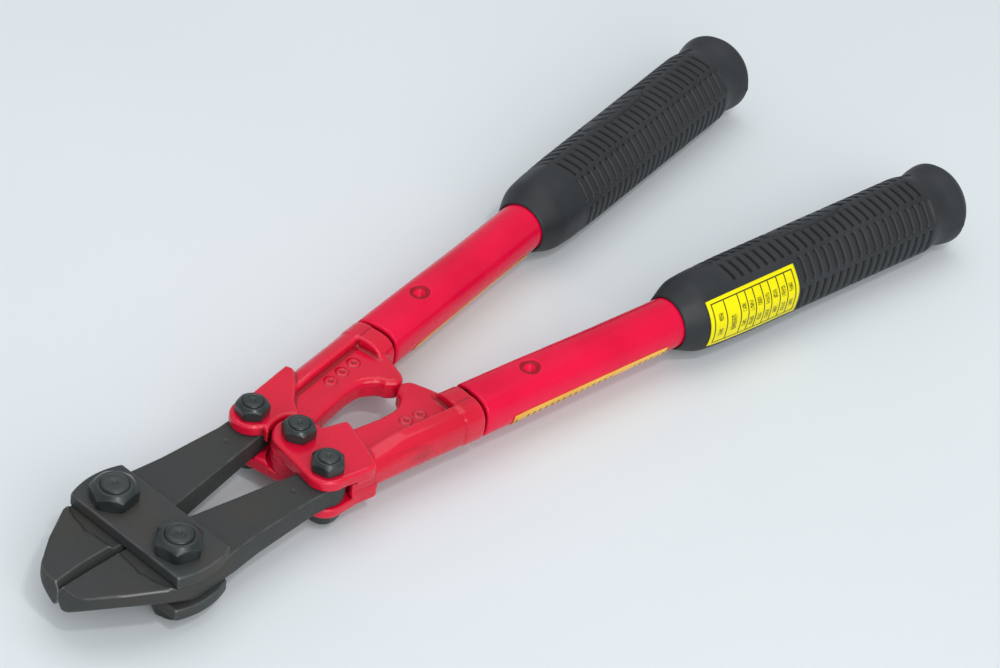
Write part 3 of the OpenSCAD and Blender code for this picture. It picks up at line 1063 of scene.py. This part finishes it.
def hex_rows(width, height, turn):
    """Heights and radii up a nut: lower chamfer, side, and upper cone."""
    cone = width * 0.17
    levels = np.concatenate([np.linspace(0, 0.5, 5), np.linspace(height - cone, height, 12)])[:, None]
    upper = width * 0.41 + np.maximum(height - levels, 0) * 1.25
    limit = np.minimum(upper, width * 0.49 + levels / 0.6)
    hexed = hexagon(width, turn)
    gap = np.maximum(0.3 - np.abs(hexed - limit), 0)
    return levels + 0 * turns, np.minimum(hexed, limit) - gap**2 / 1.2


def upright_rings(centre_xy, foot, below, hexed, above):
    """Rings round an upright axis, hexagonal rows between plain ones, and how they bend."""
    below, above = (np.array(rows).T[:, :, None] + 0 * turns for rows in (below, above))
    z, r = (np.concatenate([below[n], hexed[n], above[n]]) for n in (0, 1))
    x, y = centre_xy[0] + r * np.cos(turns), centre_xy[1] + r * np.sin(turns)
    bend = np.abs(np.gradient(np.gradient(r, axis=0), axis=0))
    return np.stack([x, y, z + foot], axis=-1), bend


def nut_grid(centre_xy, foot, width, height, bore, turn):
    """Closed ring: bore, underside, hexagon, top and the chamfer back into the bore."""
    under = [(0.4, bore), (0.0, bore + 0.4)]
    over = [(height, width * 0.38), (height, bore + 0.15), (height - 0.08, bore + 0.03), (height - 0.6, bore)]
    grid, bend = upright_rings(centre_xy, foot, under, hex_rows(width, height, turn), over)
    return grid, np.clip(bend * 1.5, 0, 1.4)


def bolt_grid(centre_xy, foot, width, head, shank, turn):
    """Head below its foot, round shank, chamfered end and punch mark."""
    radius, length = shank
    levels, radii_mm = hex_rows(width, head, turn)
    cap = [(-head, 0.6), (-head, width * 0.3), (-head, width * 0.44)]
    stub = [
        (0.0, radius), (length - 0.9, radius), (length - 0.45, radius - 0.03),
        (length - 0.22, radius - 0.2), (length - 0.06, radius - 0.6), (length, radius - 1.2),
        (length, 0.95), (length - 0.12, 0.72), (length - 0.6, 0.12),
    ]
    grid, bend = upright_rings(centre_xy, foot, cap, (-levels[::-1], radii_mm[::-1]), stub)
    return grid, np.clip(bend, 0, 1.4)


# %% [markdown]
# The frame has already placed every fastener, so each one takes its middle and
# its height from the box of the node that it stands for.
# No two nuts on a real tool stop at the same angle, so each has its own turn.

# %% Place the fasteners
fasteners = [
    ("jaw", "_left", "head", 12.3, 8.0, 6.0, 12),
    ("jaw", "_right", "head", 12.3, 8.0, 6.0, 38),
    ("link", "_left", "handle_left", 9.0, 6.0, 4.0, 16),
    ("link", "_right", "handle_right", 9.0, 6.0, 4.0, 46),
    ("centre", "", "handle_left", 9.0, 6.0, 4.0, 30),
]
for kind, tail, body, width, thread, head, turn in fasteners:
    nut, bolt = f"{kind}_nut{tail}", f"{kind}_bolt{tail}"
    nut_low, nut_high = box(nut) - [0, 0, mid_z]
    bolt_low, bolt_high = box(bolt) - [0, 0, mid_z]
    middle = ((nut_low + nut_high) / 2)[:2]
    coat = (body, "fastener_black", fastener_black)
    height, bore = nut_high[2] - nut_low[2], thread / 2 + 0.05
    grid, edge = nut_grid(middle, nut_low[2], width, height, bore, np.radians(turn))
    faces = grid_faces(*grid.shape[:2], loop_rows=True)[:, ::-1]
    new_piece(f"{kind}_hex_nut{tail}", grid.reshape(-1, 3), faces, *coat, (nut,), edge.ravel())
    foot = bolt_low[2] + head
    shank = (thread / 2, bolt_high[2] - foot)
    grid, edge = bolt_grid(middle, foot, width, head, shank, np.radians(turn + 20))
    points, faces, edge = closed_turning(grid[:, ::-1], edge)
    new_piece(f"{kind}_hex_bolt{tail}", points, faces, *coat, (bolt,), edge)
print("placed", 2 * len(fasteners), "fasteners")

# %% [markdown]
# ## Labels
#
# A yellow label with a table of cutting sizes wraps over the ribs of one grip,
# and a narrow strip runs along each tube. A label is a thin sheet on the same
# grid as what it sticks to. Its print is plain bars and rules, drawn in u along
# the handle and v round it.


# %% Label sheets
def wrapped_sheet(name, side, span, sweep, radius, material, node):
    """Thin closed sheet between two radii, with u along and v round."""
    u = np.linspace(0, 1, 60)[:, None]
    v = np.linspace(0, 1, 40)[None, :]
    s = span[0] + u * (span[1] - span[0])
    angle = np.radians(sweep[0] + v * (sweep[1] - sweep[0]))
    curl = 0.1 * smooth(np.abs(u - 0.5), 0.42, 0.5)
    lower = on_handle(s, radius(s, angle) + 0.02 + curl, angle)
    upper = on_handle(s, radius(s, angle) + 0.17 + curl, angle)
    points = np.concatenate([upper.reshape(-1, 3), lower.reshape(-1, 3)])
    rows, columns = upper.shape[:2]
    count = rows * columns
    face = grid_faces(rows, columns, loop_columns=False)
    order = np.arange(count).reshape(rows, columns)
    rim = np.concatenate([order[0, :-1], order[:-1, -1], order[-1, :0:-1], order[:0:-1, 0]])
    ahead = np.roll(rim, -1)
    walls = np.stack([rim, ahead, ahead + count, rim + count], axis=1)
    faces = np.concatenate([face, face[:, ::-1] + count, walls])
    uv = np.stack(np.broadcast_arrays(u, v), axis=-1).reshape(-1, 2)
    uv = np.concatenate([uv, uv])
    handle_piece(name, side, points, faces, "label_yellow", material, node, uv=uv)


def capacity_print():
    """Yellow ground, a thin frame, rules between columns, and bars for entries."""
    f = Finish("capacity_label_print")
    u, v = f.print_axes()

    def line(value, at, width=0.0075):
        off = value - at
        return f.ease(off.math("ABSOLUTE", off), width, width * 0.55)

    def band(value, low, high, soft=0.006):
        return f.ease(value, low - soft, low + soft) * f.ease(value, high + soft, high - soft)

    inside = band(u, 0.035, 0.965) * band(v, 0.07, 0.93)
    frame_line = inside * (1 - band(u, 0.047, 0.953) * band(v, 0.095, 0.905))
    widths = np.array([95, 115, 65, 65, 70, 65, 75, 70, 65], float)
    edges = 0.047 + 0.906 * np.concatenate([[0], np.cumsum(widths)]) / widths.sum()
    ink = frame_line
    for at in edges[1:-1]:
        ink = ink.math("MAXIMUM", ink, line(u, float(at)) * band(v, 0.095, 0.905))
    ragged = f.ease(f.noise(0.35, 2), 0.42, 0.5)
    for n in range(len(widths)):
        middle = float(edges[n] + edges[n + 1]) / 2
        half = float(edges[n + 1] - edges[n]) * (0.2 if n < 2 else 0.26)
        rows = ((0.3, 0.52), (0.62, 0.84)) if n != 1 else ((0.42, 0.8),)
        for low, high in rows:
            filled = low + (high - low) * (0.9 if n % 2 else 0.7)
            bar = band(u, middle - half, middle + half) * band(v, low, filled)
            ink = ink.math("MAXIMUM", ink, bar * ragged * 0.8)
    yellow = f.mix(f.ease(f.noise(12, 3), 0.35, 0.65), (0.72, 0.65, 0.001), (0.8, 0.71, 0.002))
    colour = f.mix(ink, yellow, (0.03, 0.03, 0.01))
    creases = f.bump(f.noise(2.2, 3), 0.05, 0.3)
    return f.surface(base_color=colour, roughness=0.32, normal=creases, specular_ior_level=0.15)


def strip_print():
    """Orange strip with a thin rule and a row of short plain dashes."""
    f = Finish("tube_label_print")
    u, v = f.print_axes()
    beat = u.math("FRACT", u * 26)
    dash = f.ease(beat, 0.25, 0.3) * f.ease(beat, 0.75, 0.7)
    row = f.ease(v, 0.3, 0.33) * f.ease(v, 0.62, 0.58)
    words = f.ease(f.noise(9, 2), 0.42, 0.46)
    ink = dash * row * words * 0.85
    ground = f.mix(f.ease(f.noise(14, 3), 0.35, 0.65), (0.72, 0.36, 0.04), (0.82, 0.47, 0.08))
    colour = f.mix(ink, ground, (0.04, 0.015, 0.01))
    return f.surface(base_color=colour, roughness=0.3, specular_ior_level=0.15)


def on_grip(s, angle):
    """Radius of the grip without its slits, which the sheet bridges."""
    t = s - grip_start
    return np.interp(t, profile[4:-6, 0], profile[4:-6, 1]) + facets(t, angle) + 0.02


strip = strip_print()
yellow_span, strip_span = (grip_start + 7.5, grip_start + 44.2), (63, 124)
wrapped_sheet("capacity_sheet", "left", yellow_span, (36, 112), on_grip, capacity_print(), "capacity_label")
wrapped_sheet("strip_left", "left", strip_span, (97, 140), tube_section, strip, "tube_label_left")
wrapped_sheet("strip_right", "right", strip_span, (-68, -25), tube_section, strip, "tube_label_right")
print("three labels wrapped")

# %% [markdown]
# ## Table and light
#
# The tool lies on a plain pale sheet under a large soft light, which lays long
# pale bands on the paint and keeps the shadows weak. A window-like lamp from the
# front lights the sides, a small bright one gives the glints on the paint, and a
# pale world fills the rest.


# %% Floor
def pale_floor():
    f = Finish("pale_sheet")
    cloud = f.ease(f.noise(320, 3), 0.3, 0.7)
    colour = f.mix(cloud, (0.645, 0.69, 0.705), (0.68, 0.715, 0.728))
    return f.surface(base_color=colour, roughness=0.55, specular_ior_level=0.3)


floor_mesh = bpy.data.meshes.new("table_sheet")
floor_half = 3.0
floor_corners = [(i * floor_half, j * floor_half, 0) for i, j in ((-1, -1), (1, -1), (1, 1), (-1, 1))]
floor_mesh.from_pydata(floor_corners, [], [(0, 1, 2, 3)])
floor_mesh.materials.append(pale_floor())
floor = add_object("table_sheet", floor_mesh)
print("floor laid")


# %% Lights
def soft_light(name, size, power, place_at):
    """Square lamp that faces the middle of the table."""
    lamp = bpy.data.lights.new(name, "AREA")
    lamp.shape, lamp.size, lamp.energy = "SQUARE", size, power
    away = np.array(place_at) / np.linalg.norm(place_at)
    side_way = np.cross([0.0, 1.0, 0.0], away)
    side_way /= np.linalg.norm(side_way)
    lift = np.cross(away, side_way)
    add_object(name, lamp).matrix_world = standing(side_way, lift, away, place_at)


soft_light("overhead", 1.6, 11, (-0.35, -0.35, 2.0))
soft_light("window", 1.8, 29, (0.9, 1.55, 1.15))
soft_light("spark", 0.1, 2.8, (0.3, 0.6, 1.2))
world = bpy.data.worlds.new("studio")
bpy.context.scene.world = world
world.use_nodes = True
background = world.node_tree.nodes["Background"]
background.inputs["Color"].default_value = (0.92, 0.95, 1.0, 1.0)
background.inputs["Strength"].default_value = 0.58
bpy.context.scene.view_settings.view_transform = "Standard"
print("lights placed")
